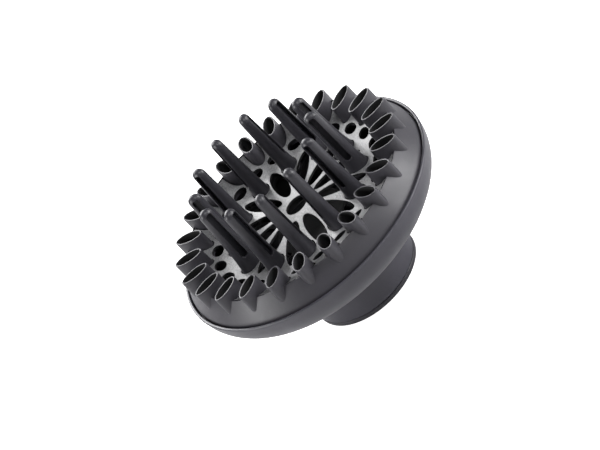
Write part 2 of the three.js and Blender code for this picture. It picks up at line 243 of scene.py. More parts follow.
def lofted(sections, segments, ring=False):
    """A skin through upright ellipses, each (half length, half width, x, height). The ends are
    capped, or, for a ring, joined to each other."""
    bm = bmesh.new()
    bmesh.ops.create_circle(bm, cap_ends=False, radius=1.0, segments=segments)
    bmesh.ops.transform(bm, matrix=section_matrix(sections[0]), verts=bm.verts)
    first = loop = bm.edges[:]
    for last, section in zip(sections, sections[1:]):
        made = bmesh.ops.extrude_edge_only(bm, edges=loop)["geom"]
        corners = {v for v in made if isinstance(v, bmesh.types.BMVert)}
        sides = (e for e in made if isinstance(e, bmesh.types.BMEdge))
        loop = [e for e in sides if corners.issuperset(e.verts)]
        move = section_matrix(section) @ section_matrix(last).inverted()
        bmesh.ops.transform(bm, matrix=move, verts=list(corners))
    if ring:
        bmesh.ops.bridge_loops(bm, edges=first + loop)
    else:
        bmesh.ops.edgeloop_fill(bm, edges=first)
        bmesh.ops.edgeloop_fill(bm, edges=loop)
    bmesh.ops.recalc_face_normals(bm, faces=bm.faces)
    return bm


def prism(half_x, half_y, x, bottom, top, segments=48):
    """An upright elliptical prism."""
    return lofted([(half_x, half_y, x, bottom), (half_x, half_y, x, top)], segments)


def round_post(distance, *ends):
    """A post a little way from the axis, through ends of (radius, height)."""
    return lofted([(radius, radius, distance, z) for radius, z in ends], SMALL_STEPS)


def block(width, depth, x, bottom, top):
    """An upright rectangular bar, centred on y = 0."""
    bm = bmesh.new()
    size = Matrix.Diagonal((width * MM, depth * MM, (top - bottom) * MM, 1.0))
    place = Matrix.Translation((x * MM, 0.0, (bottom + top) / 2 * MM))
    bmesh.ops.create_cube(bm, size=1.0, matrix=place @ size)
    return bm


def swung(bm, angle):
    """Turns a whole form about +Z."""
    turn = Matrix.Rotation(angle, 3, "Z")
    bmesh.ops.rotate(bm, cent=(0.0, 0.0, 0.0), matrix=turn, verts=bm.verts)
    return bm


def arrayed(bm, count, start=0.0):
    """Repeats a form evenly round +Z."""
    swung(bm, start)
    bmesh.ops.spin(
        bm,
        geom=bm.verts[:] + bm.edges[:] + bm.faces[:],
        cent=(0.0, 0.0, 0.0),
        axis=(0.0, 0.0, 1.0),
        angle=math.tau * (count - 1) / count,
        steps=count - 1,
        use_duplicate=True,
    )
    return bm


def gathered(*forms):
    """Puts several forms into one."""
    bm = bmesh.new()
    for form in forms:
        mesh = bpy.data.meshes.new("form")
        form.to_mesh(mesh)
        form.free()
        bm.from_mesh(mesh)
        bpy.data.meshes.remove(mesh)
    return bm


def as_object(name, bm):
    mesh = bpy.data.meshes.new(name)
    bm.to_mesh(mesh)
    bm.free()
    made = bpy.data.objects.new(name, mesh)
    bpy.context.scene.collection.objects.link(made)
    return made


def settled(piece):
    """Makes a piece's modifiers part of its mesh."""
    bpy.context.view_layer.update()
    evaluated = piece.evaluated_get(bpy.context.evaluated_depsgraph_get())
    mesh = bpy.data.meshes.new_from_object(evaluated)
    piece.modifiers.clear()
    piece.data = mesh
    mesh.name = piece.name
    return piece


def eased(piece, width, segments=2, angle=40.0):
    """Rounds a piece's corners."""
    bevel = piece.modifiers.new("Eased corners", "BEVEL")
    bevel.width = width * MM
    bevel.segments = segments
    bevel.limit_method = "ANGLE"
    bevel.angle_limit = math.radians(angle)
    bevel.use_clamp_overlap = False
    bevel.harden_normals = False
    return settled(piece)


def combined(piece, tool, operation):
    """Cuts a piece with a tool form, or joins the tool to it."""
    other = as_object("tool", tool)
    boolean = piece.modifiers.new("Tool", "BOOLEAN")
    boolean.object = other
    boolean.operation = operation
    boolean.solver = "MANIFOLD"
    settled(piece)
    if not piece.data.polygons:
        raise RuntimeError(f"{piece.name}: the {operation.lower()} left nothing")
    bpy.data.objects.remove(other)
    return piece


def cut(piece, tool):
    return combined(piece, tool, "DIFFERENCE")


def welded(piece, tool):
    return combined(piece, tool, "UNION")


def finished(piece, body, slot, look, *nodes):
    """Gives a piece its shading, finish and body, and hides the CAD parts that it stands for."""
    piece.data.shade_smooth()
    piece.data.set_sharp_from_angle(angle=SHARP)
    shading = piece.modifiers.new("Even shading", "WEIGHTED_NORMAL")
    shading.keep_sharp = True
    mesh = settled(piece).data
    mesh.materials.clear()
    mesh.materials.append(look)
    mesh.polygons.foreach_set("material_index", [0] * len(mesh.polygons))
    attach(piece, body)
    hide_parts(*nodes)
    return piece


def copies(names, pattern, start, step, node_of, body, slot, look):
    """Turns copies of one finished mesh to their angles, each as its own piece."""
    for i, name in enumerate(names):
        mesh = pattern.copy()
        mesh.transform(Matrix.Rotation(start + i * step, 4, "Z"))
        piece = bpy.data.objects.new(name, mesh)
        bpy.context.scene.collection.objects.link(piece)
        finished(piece, body, slot, look, node_of(i))


# ---- Finishes ---------------------------------------------------------------------------


def node_group(name, inputs, outputs):
    """A shader node group with named sockets, and its input and output nodes."""
    tree = bpy.data.node_groups.new(name, "ShaderNodeTree")
    for label, kind, default in inputs:
        tree.interface.new_socket(label, in_out="INPUT", socket_type=kind).default_value = default
    for label, kind in outputs:
        tree.interface.new_socket(label, in_out="OUTPUT", socket_type=kind)
    return tree, tree.nodes.new("NodeGroupInput"), tree.nodes.new("NodeGroupOutput")


def noise(tree, scale, detail=3.0, roughness=0.5):
    """A noise texture on Object coordinates, in features per metre."""
    place = tree.nodes.new("ShaderNodeTexCoord")
    texture = tree.nodes.new("ShaderNodeTexNoise")
    texture.inputs["Scale"].default_value = scale
    texture.inputs["Detail"].default_value = detail
    texture.inputs["Roughness"].default_value = roughness
    tree.links.new(place.outputs["Object"], texture.inputs["Vector"])
    return texture


def ramp(tree, source, low, high, to_low=0.0, to_high=1.0):
    """Maps a value smoothly from one range to another."""
    mapped = tree.nodes.new("ShaderNodeMapRange")
    mapped.interpolation_type = "SMOOTHSTEP"
    mapped.inputs["From Min"].default_value = low
    mapped.inputs["From Max"].default_value = high
    mapped.inputs["To Min"].default_value = to_low
    mapped.inputs["To Max"].default_value = to_high
    tree.links.new(source, mapped.inputs["Value"])
    return mapped.outputs["Result"]


def moulded_surface():
    """The fine grain of a spark-eroded mould, with slow waves from uneven cooling."""
    tree, given, result = node_group(
        "Moulded surface",
        [("Grain", "NodeSocketFloat", 1.0), ("Waves", "NodeSocketFloat", 1.0)],
        [("Height", "NodeSocketFloat")],
    )
    grain = noise(tree, 2600.0, 2.0, 0.6)
    waves = noise(tree, 45.0, 1.0)
    fine = tree.nodes.new("ShaderNodeMath")
    fine.operation = "MULTIPLY"
    slow = tree.nodes.new("ShaderNodeMath")
    slow.operation = "MULTIPLY_ADD"
    tree.links.new(grain.outputs["Fac"], fine.inputs[0])
    tree.links.new(given.outputs["Grain"], fine.inputs[1])
    tree.links.new(waves.outputs["Fac"], slow.inputs[0])
    tree.links.new(given.outputs["Waves"], slow.inputs[1])
    tree.links.new(fine.outputs["Value"], slow.inputs[2])
    tree.links.new(slow.outputs["Value"], result.inputs["Height"])
    return tree


def handled_surface():
    """Colour and roughness that vary a little where hands and cloths have been."""
    tree, given, result = node_group(
        "Handled surface",
        [
            ("Color", "NodeSocketColor", (0.1, 0.1, 0.1, 1.0)),
            ("Rubbed Color", "NodeSocketColor", (0.15, 0.15, 0.15, 1.0)),
            ("Roughness", "NodeSocketFloat", 0.45),
            ("Amount", "NodeSocketFloat", 0.3),
        ],
        [("Color", "NodeSocketColor"), ("Roughness", "NodeSocketFloat")],
    )
    smears = noise(tree, 38.0, 4.0, 0.6)
    specks = noise(tree, 420.0, 2.0, 0.7)
    wiped = ramp(tree, smears.outputs["Fac"], 0.42, 0.72)
    dotted = ramp(tree, specks.outputs["Fac"], 0.55, 0.8)
    both = tree.nodes.new("ShaderNodeMath")
    both.operation = "MULTIPLY_ADD"
    both.inputs[1].default_value = 0.35
    tree.links.new(dotted, both.inputs[0])
    tree.links.new(wiped, both.inputs[2])
    share = tree.nodes.new("ShaderNodeMath")
    share.operation = "MULTIPLY"
    share.use_clamp = True
    tree.links.new(both.outputs["Value"], share.inputs[0])
    tree.links.new(given.outputs["Amount"], share.inputs[1])
    tint = tree.nodes.new("ShaderNodeMix")
    tint.data_type = "RGBA"
    tree.links.new(share.outputs["Value"], tint.inputs["Factor"])
    tree.links.new(given.outputs["Color"], tint.inputs["A"])
    tree.links.new(given.outputs["Rubbed Color"], tint.inputs["B"])
    gloss = tree.nodes.new("ShaderNodeMath")
    gloss.operation = "MULTIPLY_ADD"
    gloss.inputs[1].default_value = -0.25
    tree.links.new(share.outputs["Value"], gloss.inputs[0])
    tree.links.new(given.outputs["Roughness"], gloss.inputs[2])
    tree.links.new(tint.outputs["Result"], result.inputs["Color"])
    tree.links.new(gloss.outputs["Value"], result.inputs["Roughness"])
    return tree


def handled_material(name, color, rubbed, roughness, amount, depth):
    """A material whose colour and gloss show slight handling, and its bump node."""
    made = bpy.data.materials.new(name)
    made.use_nodes = True
    tree = made.node_tree
    shader = tree.nodes["Principled BSDF"]
    marks = tree.nodes.new("ShaderNodeGroup")
    marks.node_tree = bpy.data.node_groups["Handled surface"]
    marks.inputs["Color"].default_value = (*color, 1.0)
    marks.inputs["Rubbed Color"].default_value = (*(min(1.0, c * rubbed) for c in color), 1.0)
    marks.inputs["Roughness"].default_value = roughness
    marks.inputs["Amount"].default_value = amount
    bump = tree.nodes.new("ShaderNodeBump")
    bump.inputs["Distance"].default_value = depth
    tree.links.new(bump.outputs["Normal"], shader.inputs["Normal"])
    tree.links.new(marks.outputs["Color"], shader.inputs["Base Color"])
    tree.links.new(marks.outputs["Roughness"], shader.inputs["Roughness"])
    return made, bump


def moulding(
    name, color, roughness, shine=0.5, rubbed=1.6, amount=0.3, grain=1.0, waves=0.6, depth=0.00002
):
    """A moulding of synthetic resin, with its grain and waves as a bump."""
    made, bump = handled_material(name, color, rubbed, roughness, amount, depth)
    tree = made.node_tree
    tree.nodes["Principled BSDF"].inputs["IOR"].default_value = 1.5
    tree.nodes["Principled BSDF"].inputs["Specular IOR Level"].default_value = shine
    skin = tree.nodes.new("ShaderNodeGroup")
    skin.node_tree = bpy.data.node_groups["Moulded surface"]
    skin.inputs["Grain"].default_value = grain
    skin.inputs["Waves"].default_value = waves
    tree.links.new(skin.outputs["Height"], bump.inputs["Height"])
    return made


def shade_split_faces():
    """The moulding's own colour, with a fine speckle, on the faces that the mark keeps, and painted
    shade, a near-black colour with a dull finish, on the rest.
    """
    tree, given, result = node_group(
        "Shade split faces",
        [
            ("Color", "NodeSocketColor", (0.1, 0.1, 0.1, 1.0)),
            ("Painted Shade Color", "NodeSocketColor", (0.01, 0.01, 0.01, 1.0)),
            ("Roughness", "NodeSocketFloat", 0.45),
            ("Painted Shade Roughness", "NodeSocketFloat", 0.8),
            ("Speckle", "NodeSocketFloat", 0.0),
        ],
        [("Color", "NodeSocketColor"), ("Roughness", "NodeSocketFloat")],
    )
    flakes = noise(tree, 1500.0, 2.0, 0.7).outputs["Fac"]
    lightness = tree.nodes.new("ShaderNodeMath")
    lightness.operation = "MULTIPLY_ADD"
    lightness.inputs[2].default_value = 1.0
    tree.links.new(ramp(tree, flakes, 0.3, 0.7, -1.0, 1.0), lightness.inputs[0])
    tree.links.new(given.outputs["Speckle"], lightness.inputs[1])
    speckled = tree.nodes.new("ShaderNodeVectorMath")
    speckled.operation = "SCALE"
    tree.links.new(given.outputs["Color"], speckled.inputs["Vector"])
    tree.links.new(lightness.outputs["Value"], speckled.inputs["Scale"])
    mark = tree.nodes.new("ShaderNodeAttribute")
    mark.attribute_name = SHADE_SPLIT
    # Painted shade: faces outside the mark take the near-black shade colour.
    shade_mix = tree.nodes.new("ShaderNodeMix")
    shade_mix.data_type = "RGBA"
    tree.links.new(mark.outputs["Fac"], shade_mix.inputs["Factor"])
    tree.links.new(given.outputs["Painted Shade Color"], shade_mix.inputs["A"])
    tree.links.new(speckled.outputs["Vector"], shade_mix.inputs["B"])
    gloss = tree.nodes.new("ShaderNodeMix")
    tree.links.new(mark.outputs["Fac"], gloss.inputs["Factor"])
    tree.links.new(given.outputs["Painted Shade Roughness"], gloss.inputs["A"])
    tree.links.new(given.outputs["Roughness"], gloss.inputs["B"])
    tree.links.new(shade_mix.outputs["Result"], result.inputs["Color"])
    tree.links.new(gloss.outputs["Result"], result.inputs["Roughness"])
    return tree


def shade_split(look, shade_colour, speckle=0.0):
    """Keeps a moulding's colour and gloss to the faces that the mark keeps, and paints shade on the
    rest.
    """
    tree = look.node_tree
    shader = tree.nodes["Principled BSDF"]
    split_node = tree.nodes.new("ShaderNodeGroup")
    split_node.node_tree = bpy.data.node_groups["Shade split faces"]
    split_node.inputs["Painted Shade Color"].default_value = (*shade_colour, 1.0)
    split_node.inputs["Speckle"].default_value = speckle
    tree.links.new(shader.inputs["Base Color"].links[0].from_socket, split_node.inputs["Color"])
    tree.links.new(shader.inputs["Roughness"].links[0].from_socket, split_node.inputs["Roughness"])
    tree.links.new(split_node.outputs["Color"], shader.inputs["Base Color"])
    tree.links.new(split_node.outputs["Roughness"], shader.inputs["Roughness"])


def marked(piece, keeps_colour):
    """Marks the faces that keep their own colour, by each face's middle and normal; the rest get painted
    shade.
    """
    mark = piece.data.attributes.new(SHADE_SPLIT, "FLOAT", "FACE")
    faces = piece.data.polygons
    mark.data.foreach_set("value", [float(keeps_colour(f.center, f.normal)) for f in faces])


# The dish keeps its pale colour on faces that look up; its hole walls and underside get painted shade.
def looks_up(middle, normal):
    return normal.z > 0.35


def looks_out(middle, normal):
    """True outside the bowl and on its lip, and false inside, where shade is painted."""
    outwards = normal.x * middle.x + normal.y * middle.y
    return outwards > 0.0 or normal.z < -0.1 or middle.xy.length > 73.0 * MM


def off_bores(middle, normal):
    """False in the bores of the air tubes, whose walls face the tube's own middle; shade is painted
    there.
    """
    step = math.tau / TUBE_COUNT
    nearest = round(math.atan2(middle.y, middle.x) / step) * step
    across = middle.x - TUBE_RING * MM * math.cos(nearest)
    along = middle.y - TUBE_RING * MM * math.sin(nearest)
    return across * normal.x + along * normal.y > 0.0 or normal.z > 0.5


def turned_steel(name, color, roughness):
    """Bright steel with fine tool marks."""
    made, bump = handled_material(name, color, 0.75, roughness, 0.5, 0.00001)
    tree = made.node_tree
    tree.nodes["Principled BSDF"].inputs["Metallic"].default_value = 1.0
    tree.links.new(noise(tree, 5000.0, 1.0).outputs["Fac"], bump.inputs["Height"])
    return made


def material(name):
    return bpy.data.materials[name]


# ---- Shapes that several pieces share ----------------------------------------------------

DISH_LOW = (42.0, 59.5)
DISH_SLOPE = 0.12  # just outside the dish's lowest circle
DISH_BEND = 0.00998  # how fast the slope grows outwards
DISH_MIDDLE = 61.1
DISH_RIM = 64.0
CREST = 64.5
CENTRE_HOLE = 6.4
PRONG_ROOT = (37.7, 59.5)  # where a prong's middle meets the dish


def dish_height(radius):
    """The dish's upper surface."""
    low_radius, low_height = DISH_LOW
    if radius < low_radius:
        share = (radius - CENTRE_HOLE) / (low_radius - CENTRE_HOLE)
        return DISH_MIDDLE + share * (low_height - DISH_MIDDLE)
    run = radius - low_radius
    return low_height + DISH_SLOPE * run + DISH_BEND * run * run


def dish_line(radii, drop=0.0):
    return [(r, dish_height(r) - drop) for r in radii]


def petals(bottom, top):
    inner, outer = 11.7, 42.2
    middle, half_length = (inner + outer) / 2, (outer - inner) / 2
    form = prism(half_length, 4.2, middle, bottom, top, 64)
    return arrayed(form, PRONG_COUNT, math.pi / PRONG_COUNT)


def prong_holes(half_x, half_y, bottom, top):
    return arrayed(prism(half_x, half_y, PRONG_ROOT[0], bottom, top), PRONG_COUNT)


def screw_holes(radius, distance, turn, bottom, top):
    return arrayed(prism(radius, radius, distance, bottom, top, SMALL_STEPS), QUARTERS, turn)


# ---- Pieces -----------------------------------------------------------------------------


def bowl_outline(sizes):
    lip, lip_top = sizes.rim_radius / MM, sizes.rim_height / MM
    outside = (
        curve((31.2, 3.0), (30.7, 8.0), (30.4, 13.0), (30.4, 19.0), 8)
        + curve((30.4, 19.0), (30.5, 23.5), (31.5, 25.7), (36.0, 27.3), 10)
        + curve((36.0, 27.3), (43.0, 29.7), (50.0, 32.1), (57.0, 34.5), 4)
        + curve((57.0, 34.5), (66.5, 37.7), (73.9, 44.5), (74.8, 53.0), 24)
        + [(lip - 0.1, 54.6), (lip, 55.4), (lip - 0.05, 56.0), (lip - 0.35, lip_top)]
    )
    inside = (
        [(73.9, lip_top), (73.6, 56.0), (73.5, 51.6), (71.9, 51.6)]
        + curve((71.8, 51.4), (70.4, 45.5), (66.0, 40.2), (57.0, 36.9), 14)
        + [(57.0, 36.9), (34.2, 29.0), (28.9, 29.0), (28.9, 3.0)]
    )
    return outside + inside


class DIFFUSER_OT_bowl(bpy.types.Operator):
    """Model the bowl and its neck, with the recesses of the case screws"""

    bl_idname = "diffuser.bowl"
    bl_label = "Bowl and Neck"

    def execute(self, context):
        piece = as_object("bowl", turned(bowl_outline(context.scene.diffuser_sizes)))
        piece = eased(piece, 0.2)
        boss = round_post(CASE_SCREW_RING, (4.6, 37.8), (4.4, 42.0))
        post = round_post(CASE_SCREW_RING, (3.3, 41.0), (3.2, 46.0))
        welded(piece, arrayed(boss, QUARTERS, CASE_SCREW_TURN))
        welded(piece, arrayed(post, QUARTERS, CASE_SCREW_TURN))
        cut(piece, screw_holes(3.2, CASE_SCREW_RING, CASE_SCREW_TURN, 30.0, 40.0))
        cut(piece, screw_holes(1.5, CASE_SCREW_RING, CASE_SCREW_TURN, 35.0, 50.0))
        # Painted shade inside the bowl, on the faces that look inwards.
        marked(piece, looks_out)
        finished(piece, "head", "shell_grey", material("Bowl moulding"), "bowl_shell")
        return {"FINISHED"}


def ring_outline():
    """The face ring: a ridge, its inner flank a ledge under the dish."""
    ledge = [53.4, 55.5, 58.0, 60.5, 62.5, CREST]
    return (
        dish_line(ledge, 1.8)
        + [(CREST, 66.7), (64.75, 67.15), (65.15, 67.1)]
        + curve((65.15, 67.1), (67.2, 64.9), (69.6, 61.2), (71.9, 57.9), 8)
        + [(71.9, 57.9), (72.45, 56.9), (72.6, 56.2), (72.6, 51.9), (71.0, 51.9), (71.0, 56.4)]
        + [(68.0, 60.4), (64.6, 64.0)]
        + dish_line(ledge[4:0:-1], 3.2)
        + [(53.4, dish_height(53.4) - 3.2)]
    )


def tube_sections(sizes, root):
    """A tube's wall from its root, up and over its rounded lip, and down its bore."""
    long, wide = sizes.tube_length / 2 / MM, sizes.tube_width / 2 / MM
    mouth, x = sizes.tube_mouth_height / MM, sizes.tube_ring_radius / MM
    wall = sizes.tube_wall / MM
    draft = 0.25
    lip = [(0.0, 0.32), (0.06, 0.13), (0.24, 0.0), (wall - 0.24, 0.0), (wall - 0.06, 0.13)]
    outside = [(long + draft, wide + draft, x, root), (long + 0.05, wide + 0.05, x, mouth - 2.0)]
    over = [(long - inset, wide - inset, x, mouth - drop) for inset, drop in lip]
    inside = [(long - wall, wide - wall, x, mouth - drop) for drop in (0.4, 2.0)]
    return outside + over + inside + [(long - wall, wide - wall, x, root)]


def tilted_mouth(bm, x, height, slope):
    """Slopes the upper end of a tube, so that its mouth faces a little inwards."""
    lip = [v for v in bm.verts if v.co.z > (height - 1.0) * MM]
    tilt = Matrix(((1, 0, 0, 0), (0, 1, 0, 0), (slope, 0, 1, -slope * x * MM), (0, 0, 0, 1)))
    bmesh.ops.transform(bm, matrix=tilt, verts=lip)
    return bm


class DIFFUSER_OT_face_ring(bpy.types.Operator):
    """Model the face ring and the elliptical air tubes that stand across its crest"""

    bl_idname = "diffuser.face_ring"
    bl_label = "Face Ring and Tubes"

    def execute(self, context):
        sizes = context.scene.diffuser_sizes
        x, mouth = sizes.tube_ring_radius / MM, sizes.tube_mouth_height / MM
        long, wide = sizes.tube_length / 2 / MM, sizes.tube_width / 2 / MM
        root = 57.6
        piece = as_object("face_ring_piece", turned(ring_outline()))
        post = round_post(CASE_SCREW_RING, (3.2, 48.6), (3.4, 61.4))
        welded(piece, arrayed(post, QUARTERS, CASE_SCREW_TURN))
        bore = prism(long - 0.3, wide - 0.3, x, root - 2.0, mouth + 3.0, 64)
        cut(piece, arrayed(bore, TUBE_COUNT))
        tube = lofted(tube_sections(sizes, root), 64, ring=True)
        tilted_mouth(tube, x, mouth, 0.064)
        welded(piece, arrayed(tube, TUBE_COUNT))
        cut(piece, screw_holes(1.5, CASE_SCREW_RING, CASE_SCREW_TURN, 45.0, 58.5))
        # Painted shade on the walls of the tube bores.
        marked(piece, off_bores)
        finished(piece, "head", "face_grey", material("Face moulding"), "face_ring")
        return {"FINISHED"}


class DIFFUSER_OT_dish(bpy.types.Operator):
    """Model the pale dish with its petals, vents and the holes that tubes and prongs pass"""

    bl_idname = "diffuser.dish"
    bl_label = "Perforated Dish"

    def execute(self, context):
        sizes = context.scene.diffuser_sizes
        thickness = sizes.dish_thickness / MM
        radii = [CENTRE_HOLE, 24.0, 40.0, 42.0, 44.0, 47.0, 50.0, 53.0, 56.0, 59.0, 62.0, DISH_RIM]
        outline = dish_line(radii) + dish_line(reversed(radii), thickness)
        piece = as_object("dish", turned(outline))
        low, high = 54.0, 72.0
        tube_hole = prism(
            sizes.tube_length / 2 / MM + 0.7,
            sizes.tube_width / 2 / MM + 0.7,
            sizes.tube_ring_radius / MM,
            low,
            high,
            64,
        )
        vents = arrayed(prism(3.1, 4.4, 49.9, low, high), TUBE_COUNT, math.pi / TUBE_COUNT)
        cut(piece, arrayed(tube_hole, TUBE_COUNT))
        cut(piece, gathered(petals(low, high), vents, prong_holes(6.75, 5.0, low, high)))
        eased(piece, 0.22, angle=50.0)
        boss = round_post(CARRIER_SCREW_RING, (2.2, 56.2), (2.3, 58.9))
        welded(piece, arrayed(boss, QUARTERS, CARRIER_SCREW_TURN))
        cut(piece, screw_holes(1.1, CARRIER_SCREW_RING, CARRIER_SCREW_TURN, 50.0, 59.0))
        # Painted shade on the dish's hole walls and underside.
        marked(piece, looks_up)
        finished(piece, "head", "plate_silver", material("Dish satin"), "grille_plate")
        return {"FINISHED"}


PRONG_TIP_RADIUS = 36.4
PRONG_WALL = 1.25
PRONG_WEB = 1.2
WINDOW_BOTTOM = 67.0
WINDOW_DEPTH_BELOW_TIP = 2.1
WINDOW_WIDTH = 3.5


def prong_section(z, tip, inset=0.0):
    """A prong's ellipse at a height: it tapers to the tip and spreads at the root."""
    root_radius, root_height = PRONG_ROOT
    share = min(1.0, max(0.0, (z - root_height) / (tip - root_height)))
    flare = (1.0 - share) ** 9
    half_x = 5.3 - 1.6 * share + 1.1 * flare
    half_y = 4.1 - 1.1 * share + 0.5 * flare
    return (half_x - inset, half_y - inset, root_radius + (PRONG_TIP_RADIUS - root_radius) * share, z)


def domed(tip, height, inset, steps=7):
    """The rounded end of a prong, as ever smaller ellipses that stop just short of a point."""
    half_x, half_y, x, z = prong_section(tip - height, tip, inset)
    turns = [math.pi / 2 * i / (steps + 0.35) for i in range(steps + 1)]
    return [
        (half_x * math.cos(t), half_y * math.cos(t), x, z + height * math.sin(t)) for t in turns
    ]


def prong_window(tip):
    """A slot with round ends, from side to side along the prong's lean."""
    low, high = WINDOW_BOTTOM + WINDOW_WIDTH / 2, tip - WINDOW_DEPTH_BELOW_TIP - WINDOW_WIDTH / 2
    low_x, high_x = (prong_section(z, tip)[2] for z in (low, high))
    half_turn = Matrix.Rotation(math.pi / 2, 4, "X") @ Matrix.Rotation(math.pi / SMALL_STEPS, 4, "Z")
    bm = bmesh.new()
    bmesh.ops.create_circle(
        bm, cap_ends=True, radius=WINDOW_WIDTH / 2 * MM, segments=SMALL_STEPS, matrix=half_turn
    )
    upper = [v for v in bm.verts if v.co.z > 0.0]
    bmesh.ops.translate(bm, verts=upper, vec=((high_x - low_x) * MM, 0.0, (high - low) * MM))
    bmesh.ops.translate(bm, verts=bm.verts, vec=(low_x * MM, -8.0 * MM, low * MM))
    made = bmesh.ops.extrude_face_region(bm, geom=bm.faces[:])["geom"]
    far = [v for v in made if isinstance(v, bmesh.types.BMVert)]
    bmesh.ops.translate(bm, verts=far, vec=(0.0, 16.0 * MM, 0.0))
    bmesh.ops.recalc_face_normals(bm, faces=bm.faces)
    return bm


def prong_web(tip):
    """The upright web that parts a prong's hollow into two channels, thickest in its middle."""
    sections = [prong_section(z, tip) for z in (56.6, 67.0, 80.0, tip - 2.2)]
    buried = PRONG_WALL / 2  # its edges end inside the wall
    return lofted(
        [(half_x - buried, PRONG_WEB / 2, x, z) for half_x, _, x, z in sections], 24
    )


class DIFFUSER_OT_prongs(bpy.types.Operator):
    """Model the hollow prongs, with a long window in each side and a foot under the dish"""

    bl_idname = "diffuser.prongs"
    bl_label = "Prongs"

    def execute(self, context):
        tip = context.scene.diffuser_sizes.prong_height / MM
        foot = [(7.2, 5.5, PRONG_ROOT[0], z) for z in (56.25, 57.7)]
        root = [57.7, 58.8, 59.6, 60.2, 61.0, 62.2, 64.0]
        levels = root + [67.0, 72.0, 77.0, 82.0, 87.0, 92.0]
        body = [prong_section(z, tip) for z in levels] + domed(tip, 3.6, 0.0)
        piece = as_object("prong_pattern", lofted(foot + body, 48))
        hollow = [prong_section(z, tip, PRONG_WALL) for z in (55.0, 62.0, 67.0, 80.0)]
        cut(piece, lofted(hollow + domed(tip - PRONG_WALL, 2.6, PRONG_WALL, 4), 40))
        cut(piece, prong_window(tip))
        eased(piece, 0.26, 3, 50.0)
        welded(piece, prong_web(tip))
        names = [f"prong_piece_{i:02d}" for i in range(1, PRONG_COUNT + 1)]
        copies(
            names,
            piece.data,
            0.0,
            math.tau / PRONG_COUNT,
            lambda i: f"prong_{i + 1:02d}",
            body="head",
            slot="prong_grey",
            look=material("Prong moulding"),
        )
        bpy.data.objects.remove(piece)
        return {"FINISHED"}


class DIFFUSER_OT_carrier(bpy.types.Operator):
    """Model the ring under the dish that holds the prongs' feet"""

    bl_idname = "diffuser.carrier"
    bl_label = "Prong Carrier"

    def execute(self, context):
        low, high = (z / MM for z in (bottom_of("prong_carrier"), top_of("prong_carrier")))
        piece = as_object("carrier", turned([(29.5, low), (47.0, low), (47.0, high), (29.5, high)]))
        cut(piece, gathered(petals(low - 1, high + 1), prong_holes(4.6, 3.0, low - 1, high + 1)))
        eased(piece, 0.2, angle=50.0)
        cut(piece, screw_holes(1.1, CARRIER_SCREW_RING, CARRIER_SCREW_TURN, low - 1, high + 1))
        finished(piece, "head", "inner_black", material("Inner black"), "prong_carrier")
        return {"FINISHED"}


class DIFFUSER_OT_deflector(bpy.types.Operator):
    """Model the shallow cone on four arms that spreads the air inside the bowl"""

    bl_idname = "diffuser.deflector"
    bl_label = "Air Deflector"

    def execute(self, context):
        low, high = bottom_of("air_deflector") / MM, top_of("air_deflector") / MM
        under = high - 2.0
        cone = [(0.0, low)] + curve((0.8, low), (5.0, low + 0.6), (14.0, under - 2.6), (21.0, under), 10)
        back = [(21.0, under), (21.0, high), (19.8, high)]
        inner = curve((19.6, high - 0.3), (13.0, under - 0.6), (5.0, low + 2.4), (0.8, low + 1.8), 10)
        piece = as_object("deflector", turned(cone + back + inner + [(0.0, low + 1.8)], 96, False))
        arm = block(39.0, 5.0, 40.0, under + 0.01, high - 0.01)
        eye = prism(3.8, 3.8, CASE_SCREW_RING, under + 0.02, high - 0.02, SMALL_STEPS)
        welded(piece, arrayed(arm, QUARTERS, CASE_SCREW_TURN))
        welded(piece, arrayed(eye, QUARTERS, CASE_SCREW_TURN))
        cut(piece, screw_holes(1.5, CASE_SCREW_RING, CASE_SCREW_TURN, 40.0, 52.0))
        finished(piece, "head", "inner_black", material("Inner black"), "air_deflector")
        return {"FINISHED"}


def screw_pattern(head_radius, shank_radius, head_low, head_high, tip, distance):
    """A pan-head screw pointing up, with a cross recess in the underside of its head."""
    rim_low = head_low + 0.9
    dome = curve(
        (0.0, head_low),
        (head_radius * 0.6, head_low),
        (head_radius, head_low + 0.2),
        (head_radius, rim_low),
        8,
    )
    shank = [
        (head_radius, head_high),
        (shank_radius, head_high),
        (shank_radius, tip - 1.2),
        (0.0, tip),
    ]
    outline = dome + [(head_radius, rim_low)] + shank
    piece = as_object("screw_pattern", turned(outline, 40, False))
    depth = head_low + (head_high - head_low) * 0.55
    for turn in (0.0, math.pi / 2):
        slot = block(head_radius * 1.15, head_radius * 0.26, 0.0, head_low - 1.0, depth)
        cut(piece, swung(slot, turn))
    eased(piece, 0.08, 1, 60.0)
    piece.data.transform(Matrix.Translation((distance * MM, 0.0, 0.0)))
    return piece


class DIFFUSER_OT_screws(bpy.types.Operator):
    """Model the screws of the case and of the prong carrier"""

    bl_idname = "diffuser.screws"
    bl_label = "Screws"

    def execute(self, context):
        sets = [
            ("case_screw", 2.8, 1.2, CASE_SCREW_RING, CASE_SCREW_TURN, 1.9),
            ("carrier_screw", 2.0, 0.8, CARRIER_SCREW_RING, CARRIER_SCREW_TURN, 1.5),
        ]
        for node, head, shank, distance, turn, thickness in sets:
            low, tip = bottom_of(f"{node}_1") / MM, top_of(f"{node}_1") / MM
            piece = screw_pattern(head, shank, low, low + thickness, tip, distance)
            copies(
                [f"{node}_piece_{i + 1}" for i in range(QUARTERS)],
                piece.data,
                turn,
                math.tau / QUARTERS,
                lambda i: f"{node}_{i + 1}",
                body="head",
                slot="screw_steel",
                look=material("Plated steel"),
            )
            bpy.data.objects.remove(piece)
        return {"FINISHED"}


